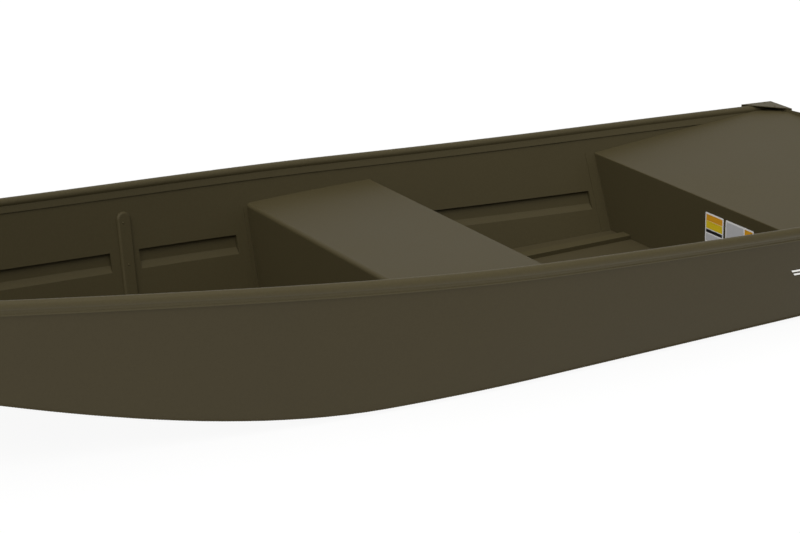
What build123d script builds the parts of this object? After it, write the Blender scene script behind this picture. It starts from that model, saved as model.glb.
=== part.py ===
from build123d import *

import os
from math import atan, ceil, cos, hypot, radians, sin, sqrt, tan

# Flat-bottomed aluminium jon boat of the 12 ft class, standing on its bottom runners.
# +X is the bow, +Y port, +Z up, in millimetres; z = 0 is the underside of the runners.
# s is a distance forward of the transom's top corners, measured along X.

# ---------------------------------------------------------------- driving dimensions
# hull lines
hull_length = 3660.0  # transom corners to the top of the bow panel
beam = 1270.0  # over the gunwales at their widest
runner_height = 14.0  # the bottom sheet's underside above the ground
stern_depth = 301.0  # gunwale crown above the bottom at the transom
bow_depth = 538.0  # the same at the bow panel
sheer_start_slope = 0.0237  # rise of the gunwale per millimetre at the transom
tuck_length = 800.0  # the gunwales close in aft of this distance
stern_tuck = 33.0  # how far each gunwale closes in at the transom
taper_start = 1650.0  # the gunwales close in forward of this distance
taper_curve = 1060.0  # length of the curve before the gunwales run straight to the bow
bow_taper = 0.156  # closing in per millimetre on that straight run
stern_flare = 151.0  # gunwale further out than the chine at the transom
bow_flare = 73.0  # the same at the bow panel
bottom_rise_start = 2120.0  # the bottom is flat as far forward as this
bow_rise = 329.0  # chine above the flat bottom at the end of the hull lines
bow_rise_hold = 163.0  # height of the rise curve's last control point
transom_rake = 12.0  # degrees, top further aft
bow_rake = 25.0  # degrees, top further forward

# sheets and fits
sheet = 2.0  # hull, deck and bench sheet
liner_sheet = 1.6  # inner side panels and their strips
joint_gap = 0.3  # room between pieces for weld or sealant
side_gap = 0.4  # gunwale flange off the side sheet
lip_clearance = 0.5  # side panel behind the gunwale's lip

# gunwale extrusion
crown_radius = 14.0  # round bead on top
crown_overhang = 5.5  # bead's outside beyond the side sheet's outer face
crown_wall = 2.4  # wall of the bead and of the inner lip
flange_thickness = 2.5
flange_height = 24.0  # outer flange below the bead's centre
flange_ridge = 2.0  # thicker foot of the flange, this much prouder
flange_ridge_height = 4.0
lip_height = 30.0  # inner lip below the bead's centre
lip_setback = 4.0  # lip's inboard face behind the bead's innermost point

# centre bench
bench_aft = 1572.0
bench_front = 2015.0
bench_height = 299.0  # bench top above the ground
bench_fold = 12.0  # outer radius of the front fold
crisp_fold = 3.0  # outer radius of every other fold

# decks
stern_bulkhead = 732.0
stern_deck_front_height = 255.0
stern_deck_aft_height = 306.0
bow_deck_length = 400.0  # bow bulkhead to the bow panel's top
bow_deck_drop = 40.0  # bow deck below the gunwale crown

# inner side panels, their recesses and ribs
panel_tuck = 6.0  # panel's top edge below the bead's centre
recess_top_drop = 200.0  # below the gunwale crown
recess_bottom_drop = 263.0
recess_slope = 25.0  # height of the recess's sloping lower face
recess_end_margin = 50.0  # panel end to the first recess end
rib_share = 0.345  # rib's place from the bench to the bow bulkhead
rib_width = 48.0
rib_proud = 8.0
rib_crown = 7.5  # radius of its rounded edge
rib_draft = 35.0  # degrees, slope of its hollow back
rib_top_drop = 88.0
rib_margin = 36.0  # rib centre to the recess ends beside it
flange_strip = 36.0  # bulkhead end strips, along the boat
bench_strip = 14.0  # bench end strips

# floor stringers and bottom runners
aft_stringer_inset = 109.0  # inboard of the chine at the stern bulkhead
forward_stringer_inset = 98.0  # inboard of the chine at the bow bulkhead
stringer_width = 44.0
stringer_height = 13.0
runner_width = 26.0
runner_inset = 110.0  # outer runners inboard of the chine at their forward ends
runner_start = 90.0
runner_end_gap = 420.0  # runners stop this far short of the bow

# outboard motor mounting on the transom
motor_height = 381.0  # clamping height above the bottom, the standard short shaft
motor_board_width = 460.0
motor_board_thickness = 32.0
motor_board_foot = 120.0  # lower edge above the ground
motor_pad_width = 380.0
motor_pad_thickness = 4.0
motor_pad_drop = 270.0  # its foot below the motor board's top
board_ramp = 60.0  # sideways run of the transom edge's climb beside the board
transom_crown = 12.0  # transom edge higher at the foot of that climb than at the corners
cap_wall = 2.5
cap_depth = 24.0

# fittings
corner_leg = 115.0
corner_skirt = 22.0
corner_wall = 2.0
corner_clearance = 0.8
handle_span = 120.0
handle_reach = 26.0
handle_rod = 5.0  # radius
handle_foot = 11.0  # radius
handle_foot_thickness = 3.0
stern_handle_inset = 172.0  # its middle inboard of the gunwale's outside
stern_handle_drop = 95.0
bow_handle_setback = 110.0
eye_thickness = 10.0
eye_reach = 30.0
eye_radius = 14.0
eye_hole = 9.0  # radius
eye_drop = 105.0
eye_foot_width = 28.0
eye_foot_height = 56.0
eye_foot_corner = 5.0
drain_radius = 12.7
drain_wall = 2.3
drain_offset = 150.0  # to starboard of the centreline
drain_height = 38.0
drain_collar = 24.0  # radius
drain_collar_thickness = 2.0
drain_length = 20.0
label_widths = (92.0, 140.0)
label_height = 95.0
label_first = 31.0  # port of the centreline
label_gap = 11.0
label_centre_height = 168.0
label_thickness = 0.8
label_corner = 4.0

# ---------------------------------------------------------------- hull lines
overrun = 60.0  # cutting shapes run this far past the hull
headroom = 170.0  # and this far above it
station_step = 125.0
rise_length = hull_length - bottom_rise_start
bow_bulkhead = hull_length - bow_deck_length
runner_end = hull_length - runner_end_gap
crown_centre = crown_overhang - crown_radius
crown_lean = -crown_centre * stern_flare / hypot(stern_flare, stern_depth)
crown_drop = crown_radius + crown_lean  # side sheet's top edge below the crown
cap_reach = cap_wall + joint_gap
motor_top = runner_height + motor_height
stern_corner_height = runner_height + stern_depth
bow_corner_height = runner_height + bow_depth
cap_fold = 0.9 * cap_wall  # outer radius of the motor board cap's folds
corner_face = cap_reach / cos(radians(bow_rake)) + corner_clearance  # corner cap's end wall, inside
roof = bow_corner_height + headroom
sides = (("port", 1), ("starboard", -1))


def gunwale_half_beam(s):
    """Centreline to the outside of the gunwale."""
    tuck = max(0.0, tuck_length - s) / tuck_length
    past = max(0.0, s - taper_start)
    curved = min(past, taper_curve)
    closing = bow_taper * (curved**2 / taper_curve - curved**3 / (3 * taper_curve**2) + past - curved)
    return beam / 2 - stern_tuck * tuck**2 - closing


def crown_height(s):
    """Top of the gunwale above the ground."""
    along = s / hull_length
    first_rise = sheer_start_slope * hull_length
    rise = first_rise * along + (bow_depth - stern_depth - first_rise) * along**2
    return stern_corner_height + rise


def corner_slope(s, leg_s):
    """Rise of the gunwale per millimetre forward along a corner cap's leg."""
    return (crown_height(leg_s) - crown_height(s)) / (leg_s - s)


def bottom_height(s):
    """Underside of the bottom sheet above the ground."""
    along = max(0.0, s - bottom_rise_start) / rise_length
    rise = 3 * bow_rise_hold * along**2 + (bow_rise - 3 * bow_rise_hold) * along**3
    return runner_height + rise


def side_line(s):
    """Chine and top edge of the side sheet's outer face at s: (y, z, y, z)."""
    chine_z = bottom_height(s)
    top_z = crown_height(s) - crown_drop
    flare = stern_flare + (bow_flare - stern_flare) * s / hull_length
    chine_y = gunwale_half_beam(s) - flare
    top_y = gunwale_half_beam(s) - crown_overhang
    return chine_y, chine_z, top_y, top_z


def stations(start, end):
    """Evenly spaced places from start to end, about a station step apart."""
    count = max(3, ceil((end - start) / station_step))
    return [start + (end - start) * i / count for i in range(count + 1)]


# the origin is midway between the motor board cap's aft fold and the bow corner caps
motor_lean = (motor_top - cap_fold - stern_corner_height) * tan(radians(transom_rake))
stern_overhang = motor_lean + (cap_reach - cap_fold) / cos(radians(transom_rake)) + cap_fold
bow_tilt = atan(corner_slope(hull_length, hull_length - corner_leg))
bow_overhang = (corner_face + corner_wall) * cos(bow_tilt)
bow_overhang += (corner_skirt - corner_clearance) * sin(bow_tilt)
stern_x = (stern_overhang - bow_overhang - hull_length) / 2
bow_x = stern_x + hull_length

# ---------------------------------------------------------------- shared shapes
def sides_space(inset):
    """Room between the two flared sides, each moved in by inset, run past the hull."""
    with BuildPart() as space:
        for s in stations(-overrun, hull_length + overrun):
            chine_y, chine_z, top_y, top_z = side_line(s)
            lean = (top_y - chine_y) / (top_z - chine_z)
            shift = inset * hypot(1, lean)
            low_y = chine_y - lean * overrun - shift
            high_y = top_y + lean * headroom - shift
            low_z = chine_z - overrun
            high_z = top_z + headroom
            with BuildSketch(Plane.YZ.offset(stern_x + s)):
                Polygon((-low_y, low_z), (low_y, low_z), (high_y, high_z), (-high_y, high_z), align=None)
        loft()
    return space.part


def above_bottom(lift):
    """Side view of everything above the bottom sheet's underside raised by lift."""
    flat_end = (stern_x + bottom_rise_start, runner_height + lift)
    hold = (bow_x - rise_length / 3, runner_height + bow_rise_hold + lift)
    rise_end = (bow_x, runner_height + bow_rise + lift)
    end_slope = 3 * (bow_rise - bow_rise_hold) / rise_length
    past_bow = (bow_x + overrun, rise_end[1] + end_slope * overrun)
    past_stern = stern_x - 2 * overrun
    with BuildSketch() as region:
        with BuildLine():
            Line((past_stern, flat_end[1]), flat_end)
            Bezier(flat_end, (flat_end[0] + rise_length / 3, flat_end[1]), hold, rise_end)
            Polyline(rise_end, past_bow, (past_bow[0], roof))
            Polyline((past_bow[0], roof), (past_stern, roof), (past_stern, flat_end[1]))
        make_face()
    return region.sketch


def below_crown(drop):
    """Side view of everything below the gunwale crown lowered by drop."""
    start_z = stern_corner_height - drop
    end_z = bow_corner_height - drop
    middle = (stern_x + hull_length / 2, start_z + sheer_start_slope * hull_length / 2)
    end_slope = (end_z - middle[1]) / (hull_length / 2)
    aft = (stern_x - 2 * overrun, start_z - 2 * overrun * sheer_start_slope)
    forward = (bow_x + overrun, end_z + end_slope * overrun)
    with BuildSketch() as region:
        with BuildLine():
            Polyline((forward[0], -overrun), (aft[0], -overrun), aft, (stern_x, start_z))
            Bezier((stern_x, start_z), middle, (bow_x, end_z))
            Polyline((bow_x, end_z), forward, (forward[0], -overrun))
        make_face()
    return region.sketch


def transom_x(z, inset):
    """X of the raked transom's outer face moved forward by inset, at height z."""
    lean = (z - stern_corner_height) * tan(radians(transom_rake))
    return stern_x - lean + inset / cos(radians(transom_rake))


def bow_panel_x(z, inset):
    """X of the raked bow panel's outer face moved aft by inset, at height z."""
    lean = (z - bow_corner_height) * tan(radians(bow_rake))
    return bow_x + lean - inset / cos(radians(bow_rake))


def raked_slab(face_x, near, far, low, high):
    """Side view of a slab between two insets of the transom or the bow panel."""
    with BuildSketch() as slab:
        corners = [(face_x(low, near), low), (face_x(low, far), low)]
        corners += [(face_x(high, far), high), (face_x(high, near), high)]
        Polygon(*corners, align=None)
    return slab.sketch


def between_ends(inset):
    """Side view of the room between the transom and the bow panel, each moved in."""
    low = -overrun
    with BuildSketch() as region:
        corners = [(transom_x(low, inset), low), (bow_panel_x(low, inset), low)]
        corners += [(bow_panel_x(roof, inset), roof), (transom_x(roof, inset), roof)]
        Polygon(*corners, align=None)
    return region.sketch


def common(*regions):
    """The part that all the given side views share, on the XZ plane."""
    with BuildSketch(Plane.XZ) as view:
        add(regions[0])
        for region in regions[1:]:
            add(region, mode=Mode.INTERSECT)
    return view.sketch


def folded_sheet(points, radii):
    """Side view of a folded sheet whose outer face follows the points."""
    with BuildSketch() as fold:
        with BuildLine():
            face = FilletPolyline(*points, radius=radii)
            offset(face, amount=sheet, side=Side.RIGHT)
        make_face()
    return fold.sketch


def transom_plane(z, y):
    """Plane on the transom's outer face: x runs to port, z points out behind the boat."""
    rake = radians(transom_rake)
    return Plane(origin=(transom_x(z, 0), y, z), x_dir=(0, 1, 0), z_dir=(-cos(rake), 0, -sin(rake)))


def side_plane(s, hand):
    """Plane across the hull at the side sheet's top edge: x points outwards, y up the side."""
    chine_y, chine_z, top_y, top_z = side_line(s)
    slant = hypot(top_y - chine_y, top_z - chine_z)
    out_y = (top_z - chine_z) / slant
    out_z = (chine_y - top_y) / slant
    edge = (stern_x + s, hand * top_y, top_z)
    return Plane(origin=edge, x_dir=(0, hand * out_y, out_z), z_dir=(hand, 0, 0))


def drop_on_side(s, height_drop):
    """Distance down the slanting side from its top edge to a drop below the crown."""
    chine_y, chine_z, top_y, top_z = side_line(s)
    slant = hypot(top_y - chine_y, top_z - chine_z)
    return (height_drop - crown_drop) * slant / (top_z - chine_z)


def side_strip(start, end, hand, near, far, top_drop, bottom_drop):
    """Strip along one side, near to far inside the outer face, between two drops."""
    with BuildPart() as strip:
        for s in stations(start, end):
            high = -drop_on_side(s, top_drop)
            low = -drop_on_side(s, bottom_drop)
            with BuildSketch(side_plane(s, hand)):
                Polygon((-near, high), (-near, low), (-far, low), (-far, high), align=None)
        loft()
    return strip.part


outer_space = sides_space(0)
inner_space = sides_space(sheet + joint_gap)

with BuildPart() as room:  # everything inside the hull sheets
    extrude(common(above_bottom(sheet + joint_gap), between_ends(sheet + joint_gap)), amount=beam, both=True)
    add(inner_space, mode=Mode.INTERSECT)

os.makedirs("parts", exist_ok=True)

# ---------------------------------------------------------------- hull sheets
# bottom: one sheet, flat aft and curving up to the bow
with BuildPart() as hull_bottom:
    with BuildSketch(Plane.XZ) as bottom_view:
        add(above_bottom(0))
        add(above_bottom(sheet), mode=Mode.SUBTRACT)
        add(between_ends(0), mode=Mode.INTERSECT)
    extrude(amount=beam, both=True)
    add(outer_space, mode=Mode.INTERSECT)
hull_bottom.part.label = "hull_bottom"
export_step(hull_bottom.part, "parts/hull_bottom.step")

# sides: flared sheets from the bottom sheet up into the gunwale extrusion
for side_name, hand in sides:
    with BuildPart() as side_sheet:
        side_view = common(below_crown(crown_drop), above_bottom(sheet + joint_gap), between_ends(0))
        extrude(side_view, amount=-hand * beam)
        add(outer_space, mode=Mode.INTERSECT)
        add(sides_space(sheet), mode=Mode.SUBTRACT)
    side_sheet.part.label = side_name + "_side"
    export_step(side_sheet.part, f"parts/{side_name}_side.step")

# transom: raked sheet whose top edge climbs from the corners to the motor board
board_edge = motor_board_width / 2


def transom_outline(lower):
    """Aft view of the transom below its top edge lowered by lower."""
    corner = stern_corner_height - lower
    shoulder = corner + transom_crown
    top = motor_top - lower
    ramp_foot = board_edge + board_ramp
    level_end = gunwale_half_beam(0) - corner_leg - corner_skirt / 2
    with BuildSketch(Plane.YZ) as outline:
        right = [(beam, corner), (level_end, corner), (ramp_foot, shoulder), (board_edge, top)]
        left = [(-y, z) for y, z in reversed(right)]
        Polygon((-beam, -overrun), (beam, -overrun), *right, *left, align=None)
    return outline.sketch


edge_drop = cap_reach  # the sheets stop this far below the cap's top
with BuildPart() as transom:
    slab = raked_slab(transom_x, 0, sheet, -overrun, roof)
    extrude(common(slab, above_bottom(sheet + joint_gap)), amount=beam, both=True)
    add(inner_space, mode=Mode.INTERSECT)
    extrude(transom_outline(edge_drop), amount=2 * hull_length, both=True, mode=Mode.INTERSECT)
    with Locations(transom_plane(drain_height, -drain_offset)):
        Cylinder(drain_radius + drain_wall + joint_gap, 10 * sheet, mode=Mode.SUBTRACT)
transom.part.label = "transom"
export_step(transom.part, "parts/transom.step")

# bow panel: raked sheet closing the square bow
with BuildPart() as bow_panel:
    slab = raked_slab(bow_panel_x, 0, sheet, -overrun, roof)
    extrude(common(slab, above_bottom(sheet + joint_gap), below_crown(edge_drop)), amount=beam, both=True)
    add(inner_space, mode=Mode.INTERSECT)
bow_panel.part.label = "bow_panel"
export_step(bow_panel.part, "parts/bow_panel.step")

# ---------------------------------------------------------------- decks and bench
# the side panels stand this far inside the hull side, tucked up behind the gunwale's lip
panel_face = crown_radius - crown_centre - lip_setback - crown_wall - lip_clearance
panel_back = panel_face - liner_sheet

# stern deck: folded sheet, its top climbing aft to the transom, its face the bulkhead
deck_aft = sheet + joint_gap  # inset from the transom's outer face
deck_slope = (stern_deck_aft_height - stern_deck_front_height) / stern_bulkhead
with BuildPart() as stern_deck:
    points = [(stern_x - overrun, stern_deck_aft_height + overrun * deck_slope)]
    points += [(stern_x + stern_bulkhead, stern_deck_front_height), (stern_x + stern_bulkhead, 0)]
    deck_view = common(folded_sheet(points, crisp_fold), between_ends(deck_aft))
    extrude(deck_view, amount=beam, both=True)
    add(room.part, mode=Mode.INTERSECT)
    board_front = transom_x(stern_deck_aft_height, sheet + 2 * joint_gap + motor_board_thickness)
    with Locations((board_front - overrun, 0, stern_deck_aft_height)):
        notch_width = motor_board_width + 2 * (cap_wall + joint_gap)
        Box(2 * (overrun + cap_reach), notch_width, 2 * overrun, mode=Mode.SUBTRACT)
stern_deck.part.label = "stern_deck"
export_step(stern_deck.part, "parts/stern_deck.step")

# centre bench: folded sheet across the boat, round fold in front, crisp fold aft
with BuildPart() as center_bench:
    front_x = stern_x + bench_front
    aft_x = stern_x + bench_aft
    points = [(aft_x, 0), (aft_x, bench_height), (front_x, bench_height), (front_x, 0)]
    extrude(common(folded_sheet(points, [crisp_fold, bench_fold])), amount=beam, both=True)
    add(room.part, mode=Mode.INTERSECT)
    add(sides_space(panel_face + joint_gap), mode=Mode.INTERSECT)
center_bench.part.label = "center_bench"
export_step(center_bench.part, "parts/center_bench.step")

# bow deck: folded sheet from the bow panel aft, its face the forward bulkhead
bow_deck_front_height = crown_height(hull_length) - bow_deck_drop
bow_deck_aft_height = crown_height(bow_bulkhead) - bow_deck_drop
bow_deck_slope = (bow_deck_front_height - bow_deck_aft_height) / bow_deck_length
with BuildPart() as bow_deck:
    bulkhead_x = stern_x + bow_bulkhead
    points = [(bulkhead_x, 0), (bulkhead_x, bow_deck_aft_height)]
    points += [(bow_x + overrun, bow_deck_front_height + overrun * bow_deck_slope)]
    extrude(common(folded_sheet(points, crisp_fold)), amount=beam, both=True)
    add(room.part, mode=Mode.INTERSECT)
bow_deck.part.label = "bow_deck"
export_step(bow_deck.part, "parts/bow_deck.step")

# ---------------------------------------------------------------- gunwales
# extruded bead over each side sheet, with an outer flange and a deeper inner lip below it
flange_face = side_gap + flange_thickness
flange_top = -sqrt(crown_radius**2 - (flange_face - crown_centre) ** 2)
ridge_face = flange_face + flange_ridge
ridge_top = flange_ridge_height - flange_height
lip_face = crown_centre - crown_radius + lip_setback
lip_back = lip_face + crown_wall
lip_top = -sqrt(crown_radius**2 - (lip_face - crown_centre) ** 2)
with BuildPart() as below_decks:  # the lip is trimmed away where a deck meets the side
    under_stern = [(stern_x - 2 * overrun, stern_deck_aft_height + 2 * overrun * deck_slope + joint_gap)]
    under_stern += [(stern_x + stern_bulkhead + joint_gap, stern_deck_front_height + joint_gap)]
    under_stern += [(stern_x + stern_bulkhead + joint_gap, 0), (stern_x - 2 * overrun, 0)]
    under_bow = [(bulkhead_x - joint_gap, bow_deck_aft_height + joint_gap)]
    under_bow += [(bow_x + overrun, bow_deck_front_height + overrun * bow_deck_slope + joint_gap)]
    under_bow += [(bow_x + overrun, 0), (bulkhead_x - joint_gap, 0)]
    with BuildSketch(Plane.XZ):
        Polygon(*under_stern, align=None)
        Polygon(*under_bow, align=None)
        for face_x in (transom_x, bow_panel_x):
            add(raked_slab(face_x, -2 * overrun, sheet + joint_gap, -overrun, roof))
    extrude(amount=beam, both=True)
    add(sides_space(sheet), mode=Mode.INTERSECT)

for side_name, hand in sides:
    with BuildPart() as gunwale:
        for s in stations(-overrun, hull_length + overrun):
            with BuildSketch(side_plane(s, hand)):
                with BuildLine():
                    Polyline((side_gap, 0), (side_gap, -flange_height), (ridge_face, -flange_height))
                    Polyline((ridge_face, -flange_height), (ridge_face, ridge_top))
                    Polyline((ridge_face, ridge_top), (flange_face, ridge_top + flange_ridge))
                    Line((flange_face, ridge_top + flange_ridge), (flange_face, flange_top))
                    ThreePointArc((flange_face, flange_top), (crown_centre, crown_radius), (lip_face, lip_top))
                    Polyline((lip_face, lip_top), (lip_face, -lip_height), (lip_back, -lip_height))
                    Line((lip_back, -lip_height), (lip_back, 0))
                    inner_top = ((lip_back + side_gap) / 2, crown_radius - crown_wall)
                    ThreePointArc((lip_back, 0), inner_top, (side_gap, 0))
                make_face()
        loft()
        extrude(common(between_ends(0)), amount=beam, both=True, mode=Mode.INTERSECT)
        add(below_decks.part, mode=Mode.SUBTRACT)
    gunwale.part.label = side_name + "_gunwale"
    export_step(gunwale.part, f"parts/{side_name}_gunwale.step")

# ---------------------------------------------------------------- transom and bow edges
# motor board: sheet-clad block inside the transom that an outboard clamps on
board_near = sheet + joint_gap
board_far = board_near + motor_board_thickness
with BuildPart() as motor_board:
    slab = raked_slab(transom_x, board_near, board_far, motor_board_foot, motor_top - edge_drop)
    extrude(common(slab), amount=board_edge - joint_gap, both=True)
motor_board.part.label = "motor_board"
export_step(motor_board.part, "parts/motor_board.step")

# motor pad: wear plate on the transom's outer face, close under the cap
with BuildPart() as motor_pad:
    pad_foot = motor_top - motor_pad_drop
    pad_top = motor_top - cap_depth - joint_gap
    slab = raked_slab(transom_x, -joint_gap - motor_pad_thickness, -joint_gap, pad_foot, pad_top)
    extrude(common(slab), amount=motor_pad_width / 2, both=True)
motor_pad.part.label = "motor_pad"
export_step(motor_pad.part, "parts/motor_pad.step")

# motor board cap: channel folded over the board and the transom
with BuildPart() as motor_board_cap:
    cap_near = -cap_reach
    cap_far = board_far + cap_reach
    outside = raked_slab(transom_x, cap_near, cap_far, motor_top - cap_depth, motor_top)
    extrude(common(outside), amount=board_edge, both=True)
    inside = raked_slab(transom_x, cap_near + cap_wall, cap_far - cap_wall, 0, motor_top - cap_wall)
    extrude(common(inside), amount=beam, both=True, mode=Mode.SUBTRACT)
    outer_folds = motor_board_cap.faces().sort_by(Axis.Z)[-1].edges().filter_by(Axis.Y)
    fillet(outer_folds, cap_fold)
motor_board_cap.part.label = "motor_board_cap"
export_step(motor_board_cap.part, "parts/motor_board_cap.step")

# transom cap: channel over the transom's edge from each gunwale to the motor board
between_beads = sides_space(crown_radius - crown_centre + lip_clearance)
with BuildPart() as transom_cap_slot:
    extrude(common(raked_slab(transom_x, -joint_gap, sheet + joint_gap, 0, roof)), amount=beam, both=True)
    extrude(transom_outline(cap_wall), amount=2 * hull_length, both=True, mode=Mode.INTERSECT)

with BuildPart() as transom_cap:
    extrude(common(raked_slab(transom_x, -cap_reach, sheet + cap_reach, 0, roof)), amount=beam, both=True)
    extrude(transom_outline(0), amount=2 * hull_length, both=True, mode=Mode.INTERSECT)
    extrude(transom_outline(cap_depth), amount=2 * hull_length, both=True, mode=Mode.SUBTRACT)
    add(transom_cap_slot.part, mode=Mode.SUBTRACT)
    add(between_beads, mode=Mode.INTERSECT)
    with Locations((stern_x, 0, motor_top)):
        Box(hull_length, motor_board_width + 2 * joint_gap, 2 * roof, mode=Mode.SUBTRACT)
    add(below_decks.part, mode=Mode.SUBTRACT)
transom_cap.part.label = "transom_cap"
export_step(transom_cap.part, "parts/transom_cap.step")

# bow cap: channel over the bow panel's edge from gunwale to gunwale
with BuildPart() as bow_cap:
    outside = common(raked_slab(bow_panel_x, -cap_reach, sheet + cap_reach, 0, roof), below_crown(0))
    extrude(outside, amount=beam, both=True)
    extrude(common(below_crown(cap_depth)), amount=beam, both=True, mode=Mode.SUBTRACT)
    inside = raked_slab(bow_panel_x, -joint_gap, sheet + joint_gap, 0, roof)
    extrude(common(inside, below_crown(cap_wall)), amount=beam, both=True, mode=Mode.SUBTRACT)
    add(between_beads, mode=Mode.INTERSECT)
bow_cap.part.label = "bow_cap"
export_step(bow_cap.part, "parts/bow_cap.step")

# ---------------------------------------------------------------- inner side panels
# one panel a side, from transom to bow above the decks and down to the floor between
# them, with long pressed recesses that go back nearly to the hull sheet
pan_near = sheet + 2 * joint_gap
pan_far = pan_near + liner_sheet
panel_top_drop = crown_radius + panel_tuck
rib_s = bench_front + rib_share * (bow_bulkhead - bench_front)
recesses = (
    (stern_bulkhead + recess_end_margin, bench_aft - recess_end_margin),
    (bench_front + recess_end_margin, rib_s - rib_margin),
    (rib_s + rib_margin + rib_width / 2, bow_bulkhead - recess_end_margin),
)


def pressed_recess(start, end, hand, near, far, slack):
    """Recess-shaped block: square top and ends, lower face sloping out to the panel."""
    with BuildPart() as block:
        for s in stations(start, end):
            high = -drop_on_side(s, recess_top_drop + slack)
            low = -drop_on_side(s, recess_bottom_drop - slack)
            back_low = low + recess_slope
            with BuildSketch(side_plane(s, hand)):
                Polygon((-near, high), (-near, back_low), (-far, low), (-far, high), align=None)
        loft()
    return block.part


for side_name, hand in sides:
    with BuildPart() as side_panel:
        run = (-overrun, hull_length + overrun)
        add(side_strip(*run, hand, panel_back, panel_face, panel_top_drop, 2 * roof))
        extrude(common(above_bottom(sheet + joint_gap)), amount=beam, both=True, mode=Mode.INTERSECT)
        add(below_decks.part, mode=Mode.SUBTRACT)
        for low_s, high_s in recesses:
            add(pressed_recess(low_s, high_s, hand, pan_near, panel_face, 0))
        for low_s, high_s in recesses:
            inner = (low_s + liner_sheet, high_s - liner_sheet)
            pocket = pressed_recess(*inner, hand, pan_far, panel_face + liner_sheet, liner_sheet)
            add(pocket, mode=Mode.SUBTRACT)
    side_panel.part.label = side_name + "_side_panel"
    export_step(side_panel.part, f"parts/{side_name}_side_panel.step")

# side ribs: half-round pressed stiffeners on the forward panels
for side_name, hand in sides:
    wall = side_plane(rib_s, hand)
    fore = side_plane(rib_s + rib_width / 2, hand)
    along = (fore.origin - side_plane(rib_s - rib_width / 2, hand).origin).normalized() * hand
    inward = along.cross(wall.y_dir)
    rib_face = Plane(origin=wall.origin + inward * (panel_face + joint_gap), x_dir=along, z_dir=inward)
    chine_y, chine_z, top_y, top_z = side_line(rib_s)
    rib_high = -drop_on_side(rib_s, rib_top_drop)
    rib_low = panel_face - hypot(top_y - chine_y, top_z - chine_z)
    rib_length = rib_high - rib_low
    with BuildPart() as side_rib:
        with BuildSketch(rib_face):
            with Locations((0, (rib_high + rib_low) / 2)):
                SlotOverall(rib_length, rib_width, rotation=90)
        extrude(amount=rib_proud)
        fillet(side_rib.faces().sort_by(Axis(rib_face.origin, rib_face.z_dir))[-1].edges(), rib_crown)
        with BuildSketch(rib_face):
            with Locations((0, (rib_high + rib_low) / 2)):
                SlotOverall(rib_length - 2 * liner_sheet, rib_width - 2 * liner_sheet, rotation=90)
        extrude(amount=rib_crown - liner_sheet, taper=rib_draft, mode=Mode.SUBTRACT)
    side_rib.part.label = side_name + "_side_rib"
    export_step(side_rib.part, f"parts/{side_name}_side_rib.step")

# end strips: folded edges of the bulkheads and the bench, lying on the side panels
strip_near = panel_face + joint_gap
strip_far = strip_near + liner_sheet
lip_foot_drop = crown_drop + lip_height + joint_gap
deck_level_drop = crown_height(stern_bulkhead) - stern_deck_front_height
bench_level_drop = crown_height(bench_front) - bench_height
strips = (
    ("stern_bulkhead", stern_bulkhead, stern_bulkhead + flange_strip, deck_level_drop + crisp_fold),
    ("bench_aft", bench_aft - bench_strip, bench_aft, bench_level_drop + crisp_fold),
    ("bench_front", bench_front, bench_front + bench_strip, bench_level_drop + bench_fold),
    ("bow_bulkhead", bow_bulkhead - flange_strip, bow_bulkhead, bow_deck_drop + crisp_fold),
)
for place, start, end, top_drop in strips:
    top_drop = max(top_drop, lip_foot_drop)
    with BuildPart() as end_strips:
        for side_name, hand in sides:
            ends_at = (start + joint_gap, end - joint_gap)
            add(side_strip(*ends_at, hand, strip_near, strip_far, top_drop, 2 * roof))
        add(room.part, mode=Mode.INTERSECT)
    end_strips.part.label = place + "_strips"
    export_step(end_strips.part, f"parts/{place}_strips.step")

# ---------------------------------------------------------------- floor and bottom
def lengthwise_bars(bars, width, low, high):
    """Bars along the boat between two lifts above the bottom: (start, end, y) for each."""
    with BuildPart() as rails:
        with BuildSketch():
            for start, end, y in bars:
                with Locations((stern_x + (start + end) / 2, y)):
                    Rectangle(end - start, width)
        extrude(amount=roof, both=True)
        with BuildSketch(Plane.XZ):
            add(above_bottom(low))
            add(above_bottom(high), mode=Mode.SUBTRACT)
        extrude(amount=beam, both=True, mode=Mode.INTERSECT)
    return rails.part


# floor stringers: hollow stiffeners along the floor, stopped by bulkheads and bench
stringer_bars = []
aft_spread = side_line(stern_bulkhead)[0] - aft_stringer_inset
forward_spread = side_line(bow_bulkhead)[0] - forward_stringer_inset
for side_name, hand in sides:
    aft_end = bench_aft - joint_gap
    forward_end = bow_bulkhead - joint_gap
    stringer_bars.append((stern_bulkhead + joint_gap, aft_end, hand * aft_spread))
    stringer_bars.append((bench_front + joint_gap, forward_end, hand * forward_spread))
floor_level = sheet + joint_gap
stringer_top = floor_level + stringer_height
with BuildPart() as floor_stringers:
    add(lengthwise_bars(stringer_bars, stringer_width, floor_level, stringer_top))
    hollow = lengthwise_bars(stringer_bars, stringer_width - 2 * sheet, 0, stringer_top - sheet)
    add(hollow, mode=Mode.SUBTRACT)
floor_stringers.part.label = "floor_stringers"
export_step(floor_stringers.part, "parts/floor_stringers.step")

# bottom runners: hollow rubbing strakes the boat stands on, following the bottom's rise
runner_spread = side_line(runner_end)[0] - runner_inset
runner_bars = [(runner_start, runner_end, y) for y in (-runner_spread, 0, runner_spread)]
with BuildPart() as bottom_runners:
    add(lengthwise_bars(runner_bars, runner_width, -runner_height, -joint_gap))
    hollow = lengthwise_bars(runner_bars, runner_width - 2 * sheet, sheet - runner_height, 0)
    add(hollow, mode=Mode.SUBTRACT)
bottom_runners.part.label = "bottom_runners"
export_step(bottom_runners.part, "parts/bottom_runners.step")

# ---------------------------------------------------------------- corner caps
def bead_outside(s):
    """Centreline to the outermost point of the gunwale's bead."""
    chine_y, chine_z, top_y, top_z = side_line(s)
    cosine = (top_z - chine_z) / hypot(top_y - chine_y, top_z - chine_z)
    return top_y + crown_centre * cosine + crown_radius


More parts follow.
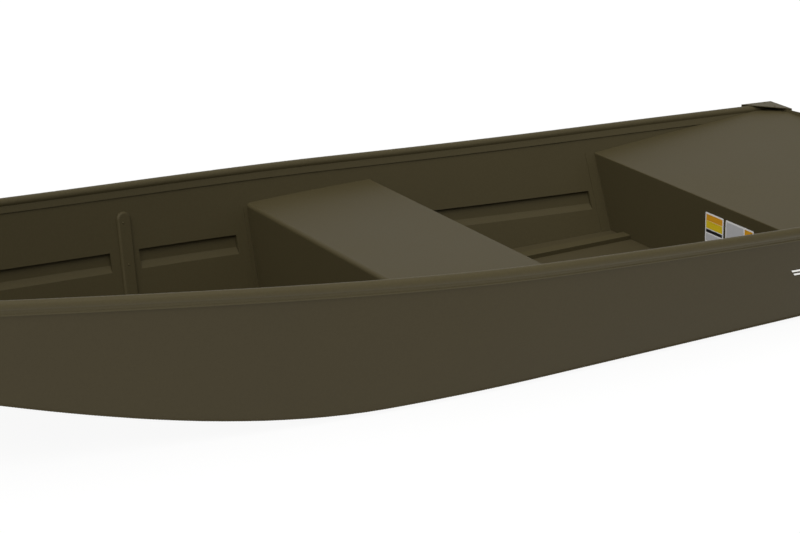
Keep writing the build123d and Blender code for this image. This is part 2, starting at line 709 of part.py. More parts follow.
def corner_plan(s, outward, hand, grow, leg):
    """Triangle over the corner, its outer faces moved out by grow, its legs leg long."""
    leg_s = s - outward * corner_leg
    spread = (bead_outside(leg_s) - bead_outside(s)) / corner_leg
    tip_x = outward * corner_face
    tip_y = bead_outside(s) + corner_clearance
    tip = (tip_x + outward * grow, tip_y + grow)
    along_side = (tip_x - outward * leg, tip_y + grow + spread * (leg + corner_face))
    along_end = (tip_x + outward * grow, tip_y - leg)
    return [(x, hand * y) for x, y in (tip, along_side, along_end)]


# pressed triangular plates over the four corners, with a skirt down both outer sides
ends = (("stern", stern_x, -1, 0.0), ("bow", bow_x, 1, hull_length))
for end_name, end_x, outward, s in ends:
    slope = corner_slope(s, s - outward * corner_leg)
    top = Plane(origin=(end_x, 0, crown_height(s)), x_dir=(1, 0, slope), z_dir=(-slope, 0, 1))
    for side_name, hand in sides:
        with BuildPart() as corner_cap:
            with BuildSketch(top.offset(corner_clearance - corner_skirt)):
                Polygon(*corner_plan(s, outward, hand, corner_wall, corner_leg), align=None)
            extrude(amount=corner_skirt + corner_wall)
            upright = corner_cap.edges().filter_by(lambda edge: abs(edge.tangent_at(0.5).Z) > 0.9)
            outermost = upright.sort_by(lambda edge: outward * edge.center().X + hand * edge.center().Y)[-1]
            fillet(outermost, corner_wall)
            with BuildSketch(top.offset(corner_clearance - corner_skirt)):
                Polygon(*corner_plan(s, outward, hand, 0, 2 * corner_leg), align=None)
            extrude(amount=corner_skirt, mode=Mode.SUBTRACT)
        corner_cap.part.label = f"{side_name}_{end_name}_corner_cap"
        export_step(corner_cap.part, f"parts/{side_name}_{end_name}_corner_cap.step")

# ---------------------------------------------------------------- handles, eye, drain, plates
def grab_handle(face):
    """Bent rod on two round feet, standing on a face; its grip runs along the face's x."""
    upright = Plane(origin=face.origin, x_dir=face.x_dir, z_dir=face.x_dir.cross(face.z_dir))
    half = handle_span / 2
    start = joint_gap + handle_foot_thickness
    with BuildPart() as handle:
        with BuildLine(upright) as rod:
            points = [(-half, start), (-half, handle_reach), (half, handle_reach), (half, start)]
            FilletPolyline(*points, radius=2 * handle_rod)
        with BuildSketch(Plane(origin=rod.line @ 0, z_dir=rod.line % 0)):
            Circle(handle_rod)
        sweep(path=rod.line)
        with BuildSketch(face.offset(joint_gap)):
            with Locations((-half, 0), (half, 0)):
                Circle(handle_foot)
        extrude(amount=handle_foot_thickness)
    return handle.part


# stern handles: lifting handles on the transom, either side of the motor pad
handle_height = stern_corner_height - stern_handle_drop
handle_spread = gunwale_half_beam(0) - stern_handle_inset
for side_name, hand in sides:
    with BuildPart() as stern_handle:
        add(grab_handle(transom_plane(handle_height, hand * handle_spread)))
    stern_handle.part.label = side_name + "_stern_handle"
    export_step(stern_handle.part, f"parts/{side_name}_stern_handle.step")

# bow handle: lifting handle across the bow deck
with BuildPart() as bow_handle:
    deck_z = bow_deck_front_height - bow_handle_setback * bow_deck_slope
    foot = (bow_x - bow_handle_setback, 0, deck_z)
    add(grab_handle(Plane(origin=foot, x_dir=(0, 1, 0), z_dir=(-bow_deck_slope, 0, 1))))
bow_handle.part.label = "bow_handle"
export_step(bow_handle.part, "parts/bow_handle.step")

# bow eye: drilled lug on a base plate, for a painter or a winch hook
with BuildPart() as bow_eye:
    eye_z = bow_corner_height - eye_drop
    rake = radians(bow_rake)
    eye_x = bow_panel_x(eye_z, 0)
    outwards = (cos(rake), 0, -sin(rake))
    foot_plane = Plane(origin=(eye_x, 0, eye_z), x_dir=(0, 1, 0), z_dir=outwards)
    lug_plane = Plane(origin=(eye_x, 0, eye_z), x_dir=outwards, z_dir=(0, -1, 0))
    with BuildSketch(foot_plane.offset(joint_gap)):
        RectangleRounded(eye_foot_width, eye_foot_height, eye_foot_corner)
    extrude(amount=handle_foot_thickness)
    lug_centre = eye_reach - eye_radius
    with BuildSketch(lug_plane):
        with Locations((lug_centre, 0)):
            Circle(eye_radius)
        with Locations((joint_gap, 0)):
            Rectangle(lug_centre - joint_gap, 2 * eye_radius, align=(Align.MIN, Align.CENTER))
    extrude(amount=eye_thickness / 2, both=True)
    with BuildSketch(lug_plane):
        with Locations((lug_centre, 0)):
            Circle(eye_hole)
    extrude(amount=eye_thickness, both=True, mode=Mode.SUBTRACT)
bow_eye.part.label = "bow_eye"
export_step(bow_eye.part, "parts/bow_eye.step")

# drain tube: collared tube through the transom, open for a drain plug
with BuildPart() as drain_tube:
    drain_plane = transom_plane(drain_height, -drain_offset).offset(joint_gap)
    with BuildSketch(drain_plane):
        Circle(drain_collar)
    extrude(amount=drain_collar_thickness)
    with BuildSketch(drain_plane):
        Circle(drain_radius + drain_wall)
    extrude(amount=-drain_length)
    with BuildSketch(drain_plane):
        Circle(drain_radius)
    extrude(amount=drain_length, both=True, mode=Mode.SUBTRACT)
drain_tube.part.label = "drain_tube"
export_step(drain_tube.part, "parts/drain_tube.step")

# label plates: two thin blank plates side by side on the stern bulkhead
with BuildPart() as label_plates:
    edge = label_first
    with BuildSketch(Plane.YZ.offset(stern_x + stern_bulkhead + joint_gap)):
        for width in label_widths:
            with Locations((edge + width / 2, label_centre_height)):
                RectangleRounded(width, label_height, label_corner)
            edge += width + label_gap
    extrude(amount=label_thickness)
label_plates.part.label = "label_plates"
export_step(label_plates.part, "parts/label_plates.step")
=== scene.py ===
from math import pi, radians

import bmesh
import bpy
from mathutils import Matrix, Vector


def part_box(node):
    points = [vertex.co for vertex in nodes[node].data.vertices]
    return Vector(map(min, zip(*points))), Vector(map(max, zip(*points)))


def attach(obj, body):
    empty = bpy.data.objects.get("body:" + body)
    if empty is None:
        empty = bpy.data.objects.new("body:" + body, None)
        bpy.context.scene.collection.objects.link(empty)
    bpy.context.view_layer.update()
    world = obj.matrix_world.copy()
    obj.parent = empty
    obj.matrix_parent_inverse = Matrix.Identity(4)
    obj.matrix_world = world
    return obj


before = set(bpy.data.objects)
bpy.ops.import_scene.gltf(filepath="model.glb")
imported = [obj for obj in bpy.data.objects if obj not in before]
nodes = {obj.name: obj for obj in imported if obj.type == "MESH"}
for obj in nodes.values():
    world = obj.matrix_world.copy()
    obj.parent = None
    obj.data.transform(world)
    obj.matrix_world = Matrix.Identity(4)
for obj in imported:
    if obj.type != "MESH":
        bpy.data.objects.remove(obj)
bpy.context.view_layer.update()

# ---------------------------------------------------------------- camera
# A long lens a little above the boat's gunwale, off its port bow, looking aft and down
# across both cockpits. The boat is longer than the view: bow to the left, stern to the right.
bench_front_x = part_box("center_bench")[1].x
camera_ahead_of_bench = 3.4599
camera_to_port = 6.3736
camera_height = 2.6867
look_heading = pi - 0.5221
look_down = 0.3236
camera_roll = -0.0134
camera_data = bpy.data.cameras.new("camera")
camera_data.sensor_width = 36.0
camera_data.lens = 119.94
camera_data.clip_end = 200.0
camera = bpy.data.objects.new("camera", camera_data)
bpy.context.scene.collection.objects.link(camera)
aim = Matrix.Rotation(look_heading, 4, "Z") @ Matrix.Rotation(pi / 2 - look_down, 4, "X")
place = Vector((bench_front_x + camera_ahead_of_bench, camera_to_port, camera_height))
camera.matrix_world = Matrix.Translation(place) @ aim @ Matrix.Rotation(camera_roll, 4, "Z")
bpy.context.scene.camera = camera
bpy.context.scene.view_settings.view_transform = "Standard"


# ---------------------------------------------------------------- studio
# A plain white studio: a wide white floor that runs out of sight, an even pale surround
# and one large soft ceiling light, so that upward faces are brightest and shadows are faint.
def to_linear(hex_colour):
    """Linear RGBA of an sRGB hex colour."""
    channels = [int(hex_colour[i : i + 2], 16) / 255 for i in (1, 3, 5)]
    return [c / 12.92 if c <= 0.04045 else ((c + 0.055) / 1.055) ** 2.4 for c in channels] + [1.0]


def add_node(tree, kind, settings=(), links=()):
    """A node of that kind: settings are (input or attribute, value), links are (input, output socket)."""
    node = tree.nodes.new(kind)
    for name, value in settings:
        if isinstance(name, str) and hasattr(node, name):
            setattr(node, name, value)
        else:
            node.inputs[name].default_value = value
    for name, source in links:
        tree.links.new(source, node.inputs[name])
    return node


def new_material(name):
    """An empty node material and its tree."""
    material = bpy.data.materials.new(name)
    material.use_nodes = True
    material.node_tree.nodes.clear()
    return material, material.node_tree


def link_new(name, mesh):
    """A new object at the origin that holds the mesh."""
    piece = bpy.data.objects.new(name, mesh)
    bpy.context.scene.collection.objects.link(piece)
    return piece


floor_size = 60.0  # metres from the middle to each edge
floor_shape = bmesh.new()
bmesh.ops.create_grid(floor_shape, x_segments=1, y_segments=1, size=floor_size)
floor_mesh = bpy.data.meshes.new("studio_floor")
floor_shape.to_mesh(floor_mesh)
floor_shape.free()
studio_floor = link_new("studio_floor", floor_mesh)

# matt white floor covering: its own glow makes it plain white and keeps the boat's shadow faint
floor_cover, tree = new_material("matt_white_studio_floor")
floor_glow = 0.93
floor_shader = add_node(
    tree,
    "ShaderNodeBsdfPrincipled",
    [
        ("Base Color", to_linear("#4c4c4b")),
        ("Roughness", 1.0),
        ("Specular IOR Level", 0.0),
        ("Emission Color", to_linear("#ffffff")),
        ("Emission Strength", floor_glow),
    ],
)
add_node(tree, "ShaderNodeOutputMaterial", links=[("Surface", floor_shader.outputs["BSDF"])])
floor_mesh.materials.append(floor_cover)

surround = bpy.data.worlds.new("pale_surround")
surround.use_nodes = True
surround.node_tree.nodes["Background"].inputs["Color"].default_value = to_linear("#fbfbfa")
surround.node_tree.nodes["Background"].inputs["Strength"].default_value = 0.4
bpy.context.scene.world = surround

ceiling_light = bpy.data.lights.new("soft_ceiling", "SUN")
ceiling_light.angle = radians(70)
ceiling_light.energy = 2.75
soft_ceiling = bpy.data.objects.new("soft_ceiling", ceiling_light)
bpy.context.scene.collection.objects.link(soft_ceiling)
ceiling_from = Vector((0.42, 0.32, 1.0))  # a little ahead of the boat and to port
soft_ceiling.matrix_world = ceiling_from.to_track_quat("Z", "Y").to_matrix().to_4x4()

sheen_light = bpy.data.lights.new("soft_back_sheen", "SUN")
sheen_light.angle = radians(60)
sheen_light.energy = 0.3
soft_back_sheen = bpy.data.objects.new("soft_back_sheen", sheen_light)
bpy.context.scene.collection.objects.link(soft_back_sheen)
sheen_from = Vector((-0.45, -0.83, 0.5))  # behind the boat, low, so that level tops catch a sheen
soft_back_sheen.matrix_world = sheen_from.to_track_quat("Z", "Y").to_matrix().to_4x4()


# ---------------------------------------------------------------- hull sheets
# The bottom, the two sides, the transom and the bow panel are 2 mm aluminium sheet, welded
# along their edges and sprayed outside in one satin olive-drab coat. The runners under the
# bottom and the transom's wear pad are painted with them.
def olive_paint(name, base_hex, rough, fade):
    """Satin olive-drab paint on aluminium: broad soft gloss, faint cloudy tone and spray grain."""
    material, tree = new_material(name)
    spot = add_node(tree, "ShaderNodeTexCoord").outputs["Object"]
    cloud_settings = [("Scale", 1 / paint_cloud), ("Detail", 3.0), ("Roughness", 0.5)]
    clouds = add_node(tree, "ShaderNodeTexNoise", cloud_settings, [("Vector", spot)])
    tone = add_node(
        tree,
        "ShaderNodeMapRange",
        [("From Min", 0.3), ("From Max", 0.7), ("To Min", 1 - fade), ("To Max", 1 + fade)],
        [("Value", clouds.outputs["Fac"])],
    )
    speckle_settings = [("Scale", 1 / paint_mottle), ("Detail", 1.0)]
    speckle = add_node(tree, "ShaderNodeTexNoise", speckle_settings, [("Vector", spot)])
    speckle_tone = add_node(
        tree,
        "ShaderNodeMapRange",
        [
            ("From Min", 0.35),
            ("From Max", 0.65),
            ("To Min", 1 - mottle_depth),
            ("To Max", 1 + mottle_depth),
        ],
        [("Value", speckle.outputs["Fac"])],
    )
    shade = add_node(
        tree,
        "ShaderNodeMath",
        [("operation", "MULTIPLY")],
        [(0, tone.outputs["Result"]), (1, speckle_tone.outputs["Result"])],
    )
    colour = add_node(
        tree,
        "ShaderNodeVectorMath",
        [("operation", "SCALE"), (0, to_linear(base_hex)[:3])],
        [("Scale", shade.outputs["Value"])],
    )
    grain_settings = [("Scale", 1 / orange_peel), ("Detail", 2.0)]
    grain = add_node(tree, "ShaderNodeTexNoise", grain_settings, [("Vector", spot)])
    bump = add_node(
        tree,
        "ShaderNodeBump",
        [("Strength", 0.25), ("Distance", orange_peel_height)],
        [("Height", grain.outputs["Fac"])],
    )
    gloss = add_node(
        tree,
        "ShaderNodeMapRange",
        [("To Min", rough - gloss_spread), ("To Max", rough + gloss_spread)],
        [("Value", clouds.outputs["Fac"])],
    )
    shader = add_node(
        tree,
        "ShaderNodeBsdfPrincipled",
        [("Metallic", 0.0), ("IOR", 1.45), ("Specular IOR Level", 0.16)],
        [
            ("Base Color", colour.outputs["Vector"]),
            ("Roughness", gloss.outputs["Result"]),
            ("Normal", bump.outputs["Normal"]),
        ],
    )
    add_node(tree, "ShaderNodeOutputMaterial", links=[("Surface", shader.outputs["BSDF"])])
    return material


def finish_node(name, material):
    """Gives a CAD node its finish."""
    node_slots = nodes[name].material_slots
    if not node_slots:
        nodes[name].data.materials.append(material)
    for node_slot in node_slots:
        node_slot.link = "OBJECT"
        node_slot.material = material


paint_cloud = 0.45  # metres, width of the spray passes' uneven build-up
paint_mottle = 0.006  # metres, slight mottling of the satin coat
mottle_depth = 0.03
orange_peel = 0.0025  # metres: the real dimples are finer, drawn this coarse so that they show
orange_peel_height = 0.0002
gloss_spread = 0.06
# the hull's coat: dull brownish green with broad soft tones, its colour darker than the inside coat as
# painted shade on the outer sides
hull_paint_painted_shade = olive_paint("satin_olive_drab_paint_on_hull_sheet", "#413a27", 0.55, 0.03)
hull_nodes = ["hull_bottom", "port_side", "starboard_side", "transom", "bow_panel"]
for name in hull_nodes + ["bottom_runners", "motor_pad"]:
    finish_node(name, hull_paint_painted_shade)


# ---------------------------------------------------------------- hull welds
# Where the sheets meet, the boat is seam-welded outside: along both chines, up the four
# corners and across the foot of the transom and bow panel. Each bead is a low rounded ridge
# with the close ripples of a hand-run weld, painted over with the hull.
def surface_hit(node, start, direction):
    """Point and outward normal where a ray from start first meets a CAD node, or None."""
    hit, point, normal, _ = nodes[node].ray_cast(Vector(start), Vector(direction))
    return (point, normal) if hit else None


def add_piece(name, mesh, material):
    """A finished new piece that rides on the boat."""
    mesh.materials.append(material)
    piece = link_new(name, mesh)
    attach(piece, "root")
    return piece


def even_points(path, step):
    """Points a step apart along a path of points."""
    points = [path[0]]
    left = step
    for start, end in zip(path, path[1:]):
        length = (end - start).length
        while left <= length:
            points.append(start.lerp(end, left / length))
            left += step
        left -= length
    return points


def weld_beads(name, paths, radius, material):
    """Rippled weld beads along paths, as one mesh."""
    line = bpy.data.curves.new(name, "CURVE")
    line.dimensions = "3D"
    line.bevel_depth = radius
    line.bevel_resolution = 1
    line.use_fill_caps = True
    for path in paths:
        points = even_points(path, weld_ripple / 2)
        spline = line.splines.new("POLY")
        spline.points.add(len(points) - 1)
        for i, point in enumerate(points):
            spline.points[i].co = (*point, 1.0)
            spline.points[i].radius = 1.0 - ripple_depth * (i % 2)
    scratch = bpy.data.objects.new(name, line)
    mesh = bpy.data.meshes.new_from_object(scratch)
    bpy.data.objects.remove(scratch)
    bpy.data.curves.remove(line)
    mesh.shade_smooth()
    return add_piece(name, mesh, material)


weld_ripple = 0.008  # metres from one ripple's crest to the next
ripple_depth = 0.16  # share of the bead's radius
weld_radius = 0.0032
sheet = 0.002
away = 2.0  # rays start this far off the boat's sides
far_away = 4.0  # and this far off its ends
bottom_low, bottom_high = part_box("hull_bottom")
transom_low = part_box("transom")[0]
bow_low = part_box("bow_panel")[0]
sides = ((1, "port"), (-1, "starboard"))


def chine_point(x, hand, side_name):
    """Point where side and bottom sheets meet, outside."""
    near_middle = 0.1
    under, _ = surface_hit("hull_bottom", (x, near_middle, -away), (0, 0, 1))
    beside = (x, hand * away, under.z + 3 * sheet)
    skin, _ = surface_hit(side_name + "_side", beside, (0, -hand, 0))
    return Vector((x, skin.y - hand * sheet, under.z + sheet))


chine_start = bottom_low.x + 0.006
chine_end = bottom_high.x - 0.012
chine_cuts = 60
chine_places = [chine_start + (chine_end - chine_start) * i / chine_cuts for i in range(chine_cuts + 1)]
chines = []
for hand, side_name in sides:
    chines.append([chine_point(x, hand, side_name) for x in chine_places])
weld_beads("chine_welds", chines, weld_radius, hull_paint_painted_shade)


def end_corner(node, outward, low_z, high_z, hand, side_name):
    """Path up the corner of the transom or the bow panel, along the side sheet's end."""
    path = []
    cuts = 8
    for i in range(cuts + 1):
        z = low_z + (high_z - low_z) * i / cuts
        panel, _ = surface_hit(node, (outward * far_away, hand * 0.2, z), (-outward, 0, 0))
        inside = panel.x - outward * 2 * sheet
        skin, _ = surface_hit(side_name + "_side", (inside, hand * away, z), (0, -hand, 0))
        path.append(Vector((panel.x, skin.y - hand * sheet, z)))
    return path


corner_gap = 0.035  # the beads stop this far below the corner caps
corner_foot = 0.004  # and start this far above the panels' lowest edge
stern_corner_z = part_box("port_stern_corner_cap")[0].z - corner_gap
bow_corner_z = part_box("port_bow_corner_cap")[0].z - corner_gap
stern_beads = []
bow_beads = []
for hand, side_name in sides:
    stern_foot_z = transom_low.z + corner_foot
    bow_foot_z = bow_low.z + corner_foot
    stern_beads.append(end_corner("transom", -1, stern_foot_z, stern_corner_z, hand, side_name))
    bow_beads.append(end_corner("bow_panel", 1, bow_foot_z, bow_corner_z, hand, side_name))
foot_beads = [[beads[0][0], beads[1][0]] for beads in (stern_beads, bow_beads)]
corner_beads = [stern_beads[0], bow_beads[0], stern_beads[1], bow_beads[1]] + foot_beads
weld_beads("corner_welds", corner_beads, weld_radius, hull_paint_painted_shade)

# ---------------------------------------------------------------- cockpit sheets
# Decks, bench, liner panels with their pressed recesses and ribs, end flanges and floor
# stringers, and the motor board between the stern deck and the transom: the same sprayed coat.
# the inside coat: the same dull green; the sides' coat is darker than it only as painted shade
inner_paint = olive_paint("satin_olive_drab_paint_inside_boat", "#443d28", 0.55, 0.035)
inner_nodes = [
    "stern_deck",
    "bow_deck",
    "center_bench",
    "floor_stringers",
    "stern_bulkhead_strips",
    "bow_bulkhead_strips",
    "bench_aft_strips",
    "bench_front_strips",
    "motor_board",
]
for hand, side_name in sides:
    inner_nodes += [side_name + "_side_panel", side_name + "_side_rib"]
for name in inner_nodes:
    finish_node(name, inner_paint)

# ---------------------------------------------------------------- gunwales and edge caps
# Extruded aluminium gunwales with a round bead, folded caps over the transom and bow edges and
# pressed corner plates. Handled edges are rubbed slightly smoother than the sheets.
# the edges' coat: slightly glossier, and slightly lighter as a painted highlight that gives the round
# bead a soft line
edge_paint_painted_highlight = olive_paint("satin_olive_drab_paint_on_extrusion", "#48412c", 0.46, 0.025)
edge_nodes = ["transom_cap", "bow_cap", "motor_board_cap"]
for hand, side_name in sides:
    for edge_name in ("_gunwale", "_stern_corner_cap", "_bow_corner_cap"):
        edge_nodes.append(side_name + edge_name)
for name in edge_nodes:
    finish_node(name, edge_paint_painted_highlight)


# ---------------------------------------------------------------- rivets
# Domed aluminium rivets, painted over with what they hold: the ribs, the wear pad, the caps and
# the corner plates. Each head is a low dome, set by its middle on the surface under it.
def rivets(name, seats, radius, material):
    """Rivet heads at (point, normal) seats, as one piece."""
    shape = bmesh.new()
    flatten = Matrix.Diagonal((1.0, 1.0, rivet_rise, 1.0))
    for centre, normal in seats:
        turn = Vector(normal).to_track_quat("Z", "Y").to_matrix().to_4x4()
        dome = bmesh.ops.create_uvsphere(shape, u_segments=12, v_segments=8, radius=radius)
        seat = Matrix.Translation(centre) @ turn @ flatten
        bmesh.ops.transform(shape, matrix=seat, verts=dome["verts"])
    mesh = bpy.data.meshes.new(name)
    shape.to_mesh(mesh)
    shape.free()
    mesh.shade_smooth()
    return add_piece(name, mesh, material)


rivet_rise = 0.45  # height of the dome over its radius
rivet_radius = 0.0036

# three on each rib: near its head, at its middle and near its foot
rib_head_gap = 0.03
rib_foot_gap = 0.05
rib_seats = []
for hand, side_name in sides:
    rib = side_name + "_side_rib"
    rib_low, rib_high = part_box(rib)
    middle_x = (rib_low.x + rib_high.x) / 2
    middle_z = (rib_low.z + rib_high.z) / 2
    for z in (rib_high.z - rib_head_gap, middle_z, rib_low.z + rib_foot_gap):
        rib_seats.append(surface_hit(rib, (middle_x, 0, z), (0, hand, 0)))
rivets("rib_rivets", rib_seats, rivet_radius, inner_paint)

# eight larger ones on the wear pad, in two rows
pad_rivet_radius = 0.0045
pad_edge_gap = 0.02
pad_low, pad_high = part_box("motor_pad")
pad_seats = []
for y in (-0.165, -0.055, 0.055, 0.165):
    for z in (pad_low.z + pad_edge_gap, pad_high.z - pad_edge_gap):
        pad_seats.append(surface_hit("motor_pad", (-far_away, y, z), (1, 0, 0)))
rivets("motor_pad_rivets", pad_seats, pad_rivet_radius, hull_paint_painted_shade)

# along the outer folds of the transom and bow caps, and both folds of the motor board's cap
transom_cap_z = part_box("transom_cap")[0].z + 0.012
board_cap_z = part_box("motor_board_cap")[0].z + 0.009
bow_cap_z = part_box("bow_cap")[0].z + 0.010
cap_seats = []
for y in (-0.42, -0.34, 0.34, 0.42):
    cap_seats.append(surface_hit("transom_cap", (-far_away, y, transom_cap_z), (1, 0, 0)))
for y in (-0.2, -0.1, 0.0, 0.1, 0.2):
    cap_seats.append(surface_hit("motor_board_cap", (-far_away, y, board_cap_z), (1, 0, 0)))
    cap_seats.append(surface_hit("motor_board_cap", (0, y, board_cap_z), (-1, 0, 0)))
for y in (-0.28, -0.14, 0.0, 0.14, 0.28):
    cap_seats.append(surface_hit("bow_cap", (far_away, y, bow_cap_z), (-1, 0, 0)))
rivets("cap_rivets", cap_seats, rivet_radius, edge_paint_painted_highlight)

# three on each corner plate, seen from above, measured inward from the plate's outer tip
plate_places = ((0.034, 0.018), (0.085, 0.014), (0.03, 0.07))
plate_seats = []
for end_name, inward in (("stern", 1), ("bow", -1)):
    for hand, side_name in sides:
        plate = f"{side_name}_{end_name}_corner_cap"
        plate_low, plate_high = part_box(plate)
        tip_x = plate_low.x if inward > 0 else plate_high.x
        tip_y = plate_high.y if hand > 0 else plate_low.y
        for along, across in plate_places:
            start = (tip_x + inward * along, tip_y - hand * across, away)
            plate_seats.append(surface_hit(plate, start, (0, 0, -1)))
rivets("corner_plate_rivets", plate_seats, rivet_radius, edge_paint_painted_highlight)


# ---------------------------------------------------------------- fittings
# Cast and tumbled aluminium: three grab handles and the bow eye with its four bolt heads. Left
# bare, dull silver with faint blotches from tumbling and handling.
def cast_aluminium():
    """Tumbled cast aluminium: soft grey metal, blotched gloss and a fine sandy skin."""
    material, tree = new_material("tumbled_cast_aluminium")
    spot = add_node(tree, "ShaderNodeTexCoord").outputs["Object"]
    blotch_settings = [("Scale", 1 / 0.03), ("Detail", 4.0)]  # blotches 30 mm wide
    blotch = add_node(tree, "ShaderNodeTexNoise", blotch_settings, [("Vector", spot)])
    gloss = add_node(
        tree,
        "ShaderNodeMapRange",
        [("To Min", 0.3), ("To Max", 0.52)],
        [("Value", blotch.outputs["Fac"])],
    )
    sand_settings = [("Scale", 1 / 0.0015), ("Detail", 2.0)]  # grains 1.5 mm wide
    sand = add_node(tree, "ShaderNodeTexNoise", sand_settings, [("Vector", spot)])
    bump = add_node(
        tree,
        "ShaderNodeBump",
        [("Strength", 0.3), ("Distance", 0.0002)],
        [("Height", sand.outputs["Fac"])],
    )
    shader = add_node(
        tree,
        "ShaderNodeBsdfPrincipled",
        [("Base Color", to_linear("#c9cac8")), ("Metallic", 1.0)],
        [("Roughness", gloss.outputs["Result"]), ("Normal", bump.outputs["Normal"])],
    )
    add_node(tree, "ShaderNodeOutputMaterial", links=[("Surface", shader.outputs["BSDF"])])
    return material


fitting_metal = cast_aluminium()
for name in ("bow_handle", "bow_eye", "port_stern_handle", "starboard_stern_handle"):
    finish_node(name, fitting_metal)

eye_bolt_radius = 0.0032
eye_bolt_gap = 0.008  # bolt centres in from the foot's upper and lower edges
eye_low, eye_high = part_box("bow_eye")
eye_seats = []
for y in (-0.009, 0.009):
    for z in (eye_low.z + eye_bolt_gap, eye_high.z - eye_bolt_gap):
        eye_seats.append(surface_hit("bow_eye", (far_away, y, z), (-1, 0, 0)))
rivets("bow_eye_bolts", eye_seats, eye_bolt_radius, fitting_metal)


# ---------------------------------------------------------------- drain tube
# A flanged brass drain tube through the transom near the bottom, turned and left bare.
def turned_brass():
    """Dull turned brass: warm metal with brownish tarnish in soft patches."""
    material, tree = new_material("dull_turned_brass")
    spot = add_node(tree, "ShaderNodeTexCoord").outputs["Object"]
    tarnish_settings = [("Scale", 1 / 0.012), ("Detail", 4.0)]  # patches 12 mm wide
    tarnish = add_node(tree, "ShaderNodeTexNoise", tarnish_settings, [("Vector", spot)])
    # inputs 6 and 7 of a colour mix are its two colours, input 0 its share and output 2 its result
    colour = add_node(
        tree,
        "ShaderNodeMix",
        [("data_type", "RGBA"), (6, to_linear("#b08d4f")), (7, to_linear("#7d6236"))],
        [(0, tarnish.outputs["Fac"])],
    )
    gloss = add_node(
        tree,
        "ShaderNodeMapRange",
        [("To Min", 0.28), ("To Max", 0.5)],
        [("Value", tarnish.outputs["Fac"])],
    )
    shader = add_node(
        tree,
        "ShaderNodeBsdfPrincipled",
        [("Metallic", 1.0)],
        [("Base Color", colour.outputs[2]), ("Roughness", gloss.outputs["Result"])],
    )
    add_node(tree, "ShaderNodeOutputMaterial", links=[("Surface", shader.outputs["BSDF"])])
    return material


finish_node("drain_tube", turned_brass())


# ---------------------------------------------------------------- label plates
# Two blank vinyl plates on the stern bulkhead: plain blocks of colour inside a white margin.
# The blocks are printed film, drawn as thin raised plates with rounded corners.
def vinyl(name, base_hex, rough):
    """Printed vinyl: even colour, faint mottling and a soft sheen."""
    material, tree = new_material(name)
    spot = add_node(tree, "ShaderNodeTexCoord").outputs["Object"]
    mottle_settings = [("Scale", 1 / 0.02), ("Detail", 2.0)]  # patches 20 mm wide
    mottle = add_node(tree, "ShaderNodeTexNoise", mottle_settings, [("Vector", spot)])
    tone = add_node(
        tree,
        "ShaderNodeMapRange",
        [("To Min", 0.93), ("To Max", 1.05)],
        [("Value", mottle.outputs["Fac"])],
    )
    colour = add_node(
        tree,
        "ShaderNodeVectorMath",
        [("operation", "SCALE"), (0, to_linear(base_hex)[:3])],
        [("Scale", tone.outputs["Result"])],
    )
    shader = add_node(
        tree,
        "ShaderNodeBsdfPrincipled",
        [("Roughness", rough), ("IOR", 1.5)],
        [("Base Color", colour.outputs["Vector"])],
    )
    add_node(tree, "ShaderNodeOutputMaterial", links=[("Surface", shader.outputs["BSDF"])])
    return material


def label_block(name, low_y, high_y, low_z, high_z, material):
    """A raised block of printed film on the labels' face."""
    shape = bmesh.new()
    film = bmesh.ops.create_cube(shape, size=1.0)
    size = Matrix.Diagonal((film_thickness, high_y - low_y, high_z - low_z, 1.0))
    middle = Vector((label_high.x + film_thickness / 2, (low_y + high_y) / 2, (low_z + high_z) / 2))
    bmesh.ops.transform(shape, matrix=Matrix.Translation(middle) @ size, verts=film["verts"])
    corners = []
    for edge in shape.edges:
        if abs(edge.verts[0].co.x - edge.verts[1].co.x) > film_thickness / 2:
            corners.append(edge)
    bmesh.ops.bevel(
        shape,
        geom=corners,
        offset=film_corner,
        segments=3,
        profile=0.5,
        affect="EDGES",
        material=-1,
    )
    mesh = bpy.data.meshes.new(name)
    shape.to_mesh(mesh)
    shape.free()
    add_piece(name, mesh, material)


film_thickness = 0.0003
film_corner = 0.0015
label_low, label_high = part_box("label_plates")
finish_node("label_plates", vinyl("white_vinyl_label", "#e4e3e2", 0.4))
amber = vinyl("amber_printed_vinyl", "#d99a1c", 0.4)
yellow = vinyl("yellow_printed_vinyl", "#dcc020", 0.4)
black = vinyl("black_printed_vinyl", "#15151a", 0.4)
pale = vinyl("pale_grey_printed_vinyl", "#bdbdc0", 0.45)
first_width = 0.092
plate_gap = 0.011
margin = 0.005
top = label_high.z - margin
foot = label_low.z + margin

# the first plate, from the top: amber, yellow, a black bar and a pale grey part
first = (label_low.y + margin, label_low.y + first_width - margin)
label_block("label_amber_block", *first, top - 0.020, top, amber)
label_block("label_yellow_block", *first, top - 0.045, top - 0.021, yellow)
label_block("label_black_bar", *first, top - 0.058, top - 0.048, black)
label_block("label_pale_block", *first, foot, top - 0.062, pale)

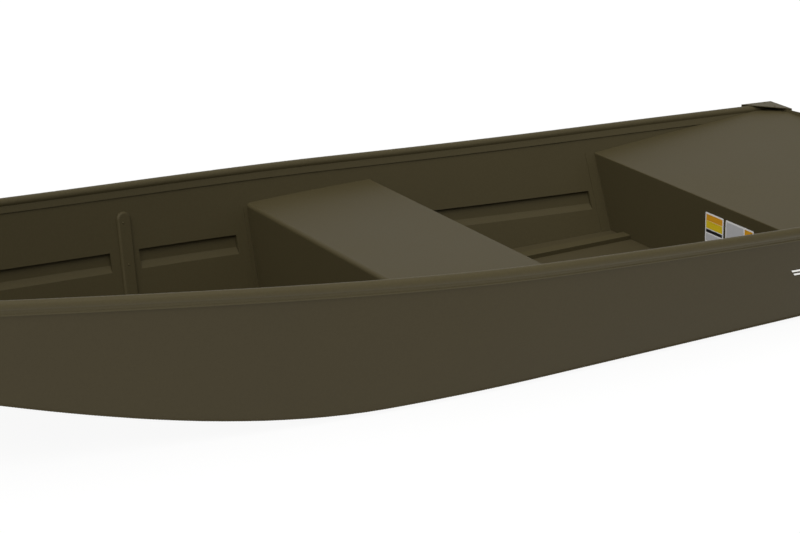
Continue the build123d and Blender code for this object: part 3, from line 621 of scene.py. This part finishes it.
# the second plate: pale grey with amber at its port end
second_low = label_low.y + first_width + plate_gap
pale_end = second_low + 0.09
amber_start = second_low + 0.096
label_block("second_label_pale_block", second_low + margin, pale_end, foot, top, pale)
label_block("second_label_amber_block", amber_start, label_high.y - margin, foot, top, amber)


# ---------------------------------------------------------------- stripe decals
# A plain twin pinstripe in white vinyl runs aft along each side below the gunwale, its
# forward ends cut on the slant. The film follows the flared side sheet.
def crown_height(x, hand, side_name):
    """Height of the gunwale's crown at x: the highest point that rays from above meet."""
    heights = []
    for i in range(crown_rays):
        start = (x, hand * (gunwale_reach - crown_step * i), away)
        crown = surface_hit(side_name + "_gunwale", start, (0, 0, -1))
        heights.append(crown[0].z if crown else 0)
    return max(heights)


def stripe(shape, hand, side_name, drop, start_x):
    """Adds one stripe on a side sheet, its middle a drop below the gunwale's crown."""
    grid = bmesh.ops.create_grid(shape, x_segments=stripe_cuts, y_segments=1, size=0.5)
    for vert in grid["verts"]:
        share = vert.co.x + 0.5
        up = vert.co.y * stripe_width
        x = start_x + (stripe_end - start_x) * share + up * (1 - share)
        z = crown_height(x, hand, side_name) - drop + up
        skin, _ = surface_hit(side_name + "_side", (x, hand * away, z), (0, -hand, 0))
        vert.co = (x, skin.y + hand * stripe_lift, z)


crown_rays = 30
crown_step = 0.003
gunwale_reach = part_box("port_gunwale")[1].y
stripe_cuts = 160
stripe_lift = 0.0009  # clear of the side sheet's flat facets
stripe_width = 0.0065
upper_stripe_drop = 0.150
lower_stripe_drop = 0.1625
lower_stripe_setback = 0.012  # the lower stripe starts this much further aft
stripe_start = bench_front_x - 1.192
stripe_end = transom_low.x + 0.16
stripe_white = vinyl("white_vinyl_stripe", "#f1f0ec", 0.35)
for hand, side_name in sides:
    shape = bmesh.new()
    stripe(shape, hand, side_name, upper_stripe_drop, stripe_start)
    stripe(shape, hand, side_name, lower_stripe_drop, stripe_start - lower_stripe_setback)
    if hand < 0:
        bmesh.ops.reverse_faces(shape, faces=shape.faces)
    mesh = bpy.data.meshes.new(side_name + "_stripes")
    shape.to_mesh(mesh)
    shape.free()
    add_piece(side_name + "_stripes", mesh, stripe_white)
